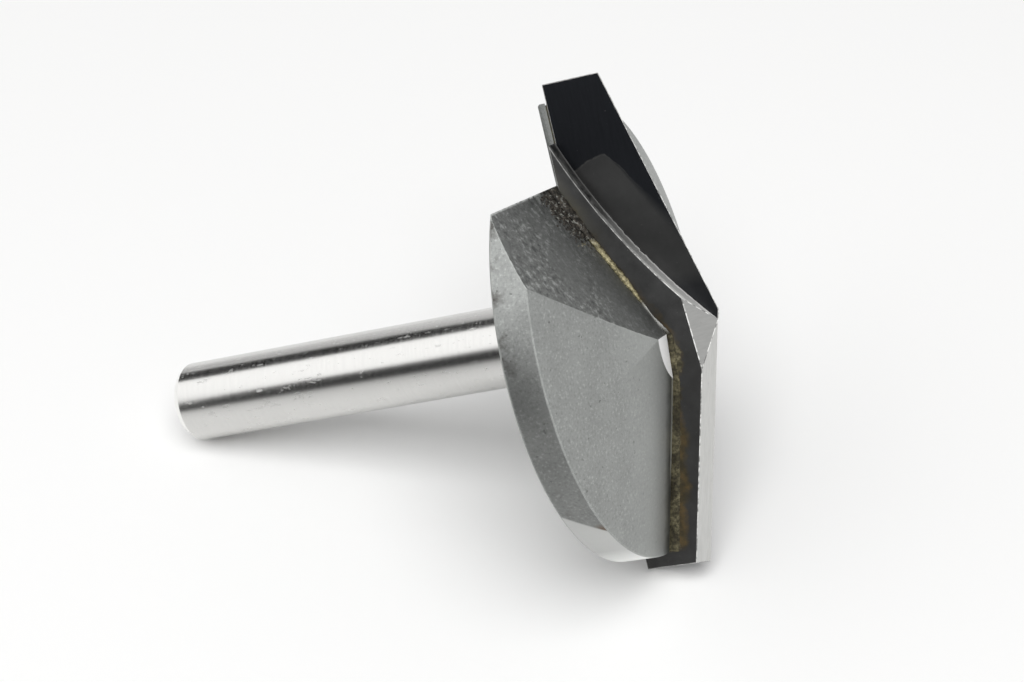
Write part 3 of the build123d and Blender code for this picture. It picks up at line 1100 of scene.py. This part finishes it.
class BIT_OT_lay_braze(bpy.types.Operator):
    """Lay the lumpy braze beads, the film in the slot and the spatter beside them"""

    bl_idname = "router_bit.lay_braze"
    bl_label = "Lay braze"

    def bead_line(self, stations, plate_back):
        """The line that a bead follows, with its climb and flatness at each point."""
        mesh = bpy.data.meshes.new("seam_line")
        points = [(along, height + 0.35 * climb, plate_back) for along, height, climb, _ in stations]
        mesh.from_pydata(points, steps_between(points), [])
        half = [0.65 * climb for _, _, climb, _ in stations]
        flat = [spread / (0.65 * climb) for _, _, climb, spread in stations]
        carry(mesh, "climb", half)
        carry(mesh, "flatness", flat)
        return mesh

    def film(self, stations, body, plates, braze):
        """The braze behind and under a plate, flush with the head round it."""
        floor, back = body.slot_floor, plates.thickness
        rise = tan(body.flute_slope)
        foot = floor / rise - body.flute_reach
        rim = stations[-1][0]
        crest = [(along, height) for along, height, _, _ in stations if height > floor]
        low, high = (foot, floor), (foot + braze.film / rise, floor + braze.film)
        behind = [low, *crest, (rim, floor)]
        under = [low, high, (rim, high[1]), (rim, floor)]
        return [
            prism(behind, back, back + braze.film, Matrix()),
            prism(under, 0, back + braze.film, Matrix()),
        ]

    def spatter_sheet(self, body, plates):
        """The strip of the flute's floor beside the seam, weighted towards the heel."""
        rise = tan(body.flute_slope)
        rows, columns = 24, 14
        verts, weights = [], []
        for i in range(rows + 1):
            along = -body.flute_reach * (1 - SPATTER_REACH * i / rows) + 0.25 * MM
            for j in range(columns + 1):
                off = plates.thickness + 0.3 * MM + SPATTER_WIDTH * j / columns
                verts.append((along, rise * (body.flute_reach + along), off))
                weights.append((1 - j / columns) ** 2 * (1 - i / rows) ** 0.6)
        faces = []
        for i in range(rows):
            for j in range(columns):
                first = i * (columns + 1) + j
                faces.append((first, first + 1, first + columns + 2, first + columns + 1))
        mesh = bpy.data.meshes.new("spatter_sheet")
        mesh.from_pydata(verts, [], faces)
        carry(mesh, "burnt", weights)
        return mesh

    def execute(self, context):
        scene = context.scene
        body, plates, braze = scene.bit_body, scene.bit_plates, scene.bit_braze
        finish = lumpy_braze(scene.bit_finishes, body, plates)
        lay, scatter = bead_tree(), spatter_tree()
        stations = seam_stations(body, plates, braze)
        for seed, side in enumerate(("lower", "upper")):
            values = {
                "Step": 0.06 * MM,
                "Plate back": plates.thickness,
                "Lump height": braze.lump_height,
                "Lump scale": 1 / braze.lump_size,
                "Seed": 4.0 + seed,
                "Finish": finish,
            }
            bead = grow(self.bead_line(stations, plates.thickness), lay, values)
            area = SPATTER_WIDTH * body.flute_reach * SPATTER_REACH
            values = {
                "Density": braze.spatter_count * 3.0 / area,
                "Largest grain": braze.spatter_size,
                "Seed": 11 + seed,
                "Finish": finish,
            }
            spatter = grow(self.spatter_sheet(body, plates), scatter, values)
            bm = bmesh.new()
            for mesh in (bead, spatter, *self.film(stations, body, plates, braze)):
                bm.from_mesh(mesh)
            bm.transform(BIT @ blade_axes(side))
            whole = bpy.data.meshes.new(f"lumpy_braze_{side}")
            bm.to_mesh(whole)
            bm.free()
            whole.materials.clear()
            whole.materials.append(finish)
            for face in whole.polygons:
                face.material_index = 0
            shade_flat_and_round(whole, sharpness=50)
            new_piece(f"lumpy_braze_{side}", whole, f"braze_seam_{side}")
        return {"FINISHED"}


def flat_sheet(name, wide, high, finish):
    """A sheet that faces up, in one finish. Its sizes are from the middle to the edges."""
    mesh = bpy.data.meshes.new(name)
    corners = [(-wide, -high, 0), (wide, -high, 0), (wide, high, 0), (-wide, high, 0)]
    mesh.from_pydata(corners, [], [(0, 1, 2, 3)])
    mesh.materials.append(finish.material)
    sheet = placed(name, mesh)
    sheet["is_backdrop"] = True
    return sheet


class BIT_OT_set_stage(bpy.types.Operator):
    """Set the pale floor, the soft light and the camera"""

    bl_idname = "router_bit.set_stage"
    bl_label = "Set stage"

    def way(self, bearing, rise):
        """The direction from the bit to a place round it."""
        return Vector((cos(rise) * cos(bearing), cos(rise) * sin(bearing), sin(rise)))

    def card(self, name, bearing, rise, size, greys):
        """A flat card that only reflections see, shaded from one upright edge to the other."""
        way = self.way(bearing, rise)
        wide, high = size[0] / 2, size[1] / 2
        finish = Finish(name, 1.0, metallic=0.0)
        finish.set("Base Color", (0, 0, 0, 1))
        finish.set("Specular IOR Level", 0)
        across, _, _ = finish.sheet_axes()
        finish.set("Emission Color", (1, 1, 1, 1))
        finish.set("Emission Strength", finish.ramp(across, -wide, wide, *greys))
        card = flat_sheet(name, wide, high, finish)
        card.location = CARD_AIM + way * CARD_DISTANCE
        card.rotation_euler = way.to_track_quat("Z", "Y").to_euler()
        card.visible_camera = False
        card.visible_diffuse = False
        card.visible_shadow = False
        card.visible_transmission = False

    def floor(self, colours):
        """A wide pale floor. Metal sees it fall dark towards the camera, as in a lit tent."""
        finish = Finish("pale_floor", 0.9, metallic=0.0)
        finish.set("Specular IOR Level", 0.1)
        along, across, _ = finish.sheet_axes()
        nearness = finish.maths("POWER", finish.ramp(across, -1, 0, 1, 0), 0.5)
        front = finish.ramp(nearness, 0.1, 0.42, 0, 0.88)
        front = finish.times(front, finish.ramp(along, -0.015, 0.015, 1, 0.3))
        seen = finish.add("ShaderNodeLightPath").outputs["Is Glossy Ray"]
        dark = finish.times(front, seen)
        finish.set("Base Color", finish.mix(dark, colours.floor_white, (0.1, 0.1, 0.1)))
        flat_sheet("pale_floor", 3.0, 3.0, finish)

    def sky(self, strength):
        """An even sky, white where the camera and the metal see it."""
        world = bpy.data.worlds.new("even_sky")
        bpy.context.scene.world = world
        world.use_nodes = True
        nodes, links = world.node_tree.nodes, world.node_tree.links
        sky = nodes["Background"]
        sky.inputs["Color"].default_value = (1, 1, 1, 1)
        rays = nodes.new("ShaderNodeLightPath").outputs
        white = nodes.new("ShaderNodeMath")
        white.operation = "MAXIMUM"
        links.new(rays["Is Camera Ray"], white.inputs[0])
        links.new(rays["Is Glossy Ray"], white.inputs[1])
        level = nodes.new("ShaderNodeMapRange")
        links.new(white.outputs[0], level.inputs["Value"])
        level.inputs["To Min"].default_value = strength
        level.inputs["To Max"].default_value = 1.0
        links.new(level.outputs[0], sky.inputs["Strength"])

    def lamp(self, name, bearing, rise, size, power):
        """A flat soft light that faces the bit."""
        light = bpy.data.lights.new(name, "AREA")
        light.shape = "RECTANGLE"
        light.size, light.size_y = size
        light.energy = power
        lamp = placed(name, light)
        way = self.way(bearing, rise)
        lamp.location = way * LAMP_DISTANCE
        lamp.rotation_euler = way.to_track_quat("Z", "Y").to_euler()
        return lamp

    def camera(self, focal_length):
        """The camera, where the photographer stood."""
        view = bpy.data.cameras.new("camera")
        view.sensor_width = 36
        view.lens = focal_length
        view.clip_start = 0.005
        camera = placed("camera", view)
        camera.location = CAMERA_PLACE
        camera.rotation_euler = [radians(turn) for turn in CAMERA_TURN]
        bpy.context.scene.camera = camera

    def execute(self, context):
        scene, studio = context.scene, context.scene.bit_studio
        scene.view_settings.view_transform = "Standard"
        self.floor(scene.bit_finishes)
        self.sky(studio.sky_strength)
        self.lamp("softbox", radians(188), radians(40), (1.0, 0.42), studio.softbox_power)
        panel = self.lamp("overhead_panel", radians(-75), radians(68), (0.55, 0.55), studio.panel_power)
        panel.visible_glossy = False
        self.card("dark_card_front", radians(-121), radians(7.5), (0.48, 0.27), (0.0, 0.0))
        self.card("dark_card_back", radians(150), radians(29.5), (0.24, 0.39), (0.0, 0.0))
        self.card("dim_card_back", radians(125), radians(13), (0.25, 0.44), (0.95, 0.55))
        self.camera(studio.focal_length)
        return {"FINISHED"}


# In the order in which they run
STEPS = (BIT_OT_turn_body, BIT_OT_grind_plates, BIT_OT_lay_braze, BIT_OT_set_stage)


class BIT_PT_panel(bpy.types.Panel):
    """Lists the steps that make the bit"""

    bl_idname = "BIT_PT_panel"
    bl_label = "Router bit"
    bl_space_type = "VIEW_3D"
    bl_region_type = "UI"
    bl_category = "Router bit"

    def draw(self, context):
        for step in STEPS:
            self.layout.operator(step.bl_idname)


GROUPS = {
    "bit_body": BitBodySizes,
    "bit_plates": BitPlateSizes,
    "bit_braze": BitBrazeSizes,
    "bit_finishes": BitFinishes,
    "bit_studio": BitStudio,
}


def register():
    for name, group in GROUPS.items():
        bpy.utils.register_class(group)
        setattr(bpy.types.Scene, name, PointerProperty(type=group))
    for cls in (*STEPS, BIT_PT_panel):
        bpy.utils.register_class(cls)


def unregister():
    for cls in (BIT_PT_panel, *reversed(STEPS)):
        bpy.utils.unregister_class(cls)
    for name, group in GROUPS.items():
        delattr(bpy.types.Scene, name)
        bpy.utils.unregister_class(group)


def main():
    register()
    make = bpy.ops.router_bit
    for operate in (make.turn_body, make.grind_plates, make.lay_braze, make.set_stage):
        operate()
    boxes = {"cad": cad_box, "visual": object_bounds()}
    boxes = {name: [list(corner) for corner in box] for name, box in boxes.items()}


if __name__ == "__main__":
    main()
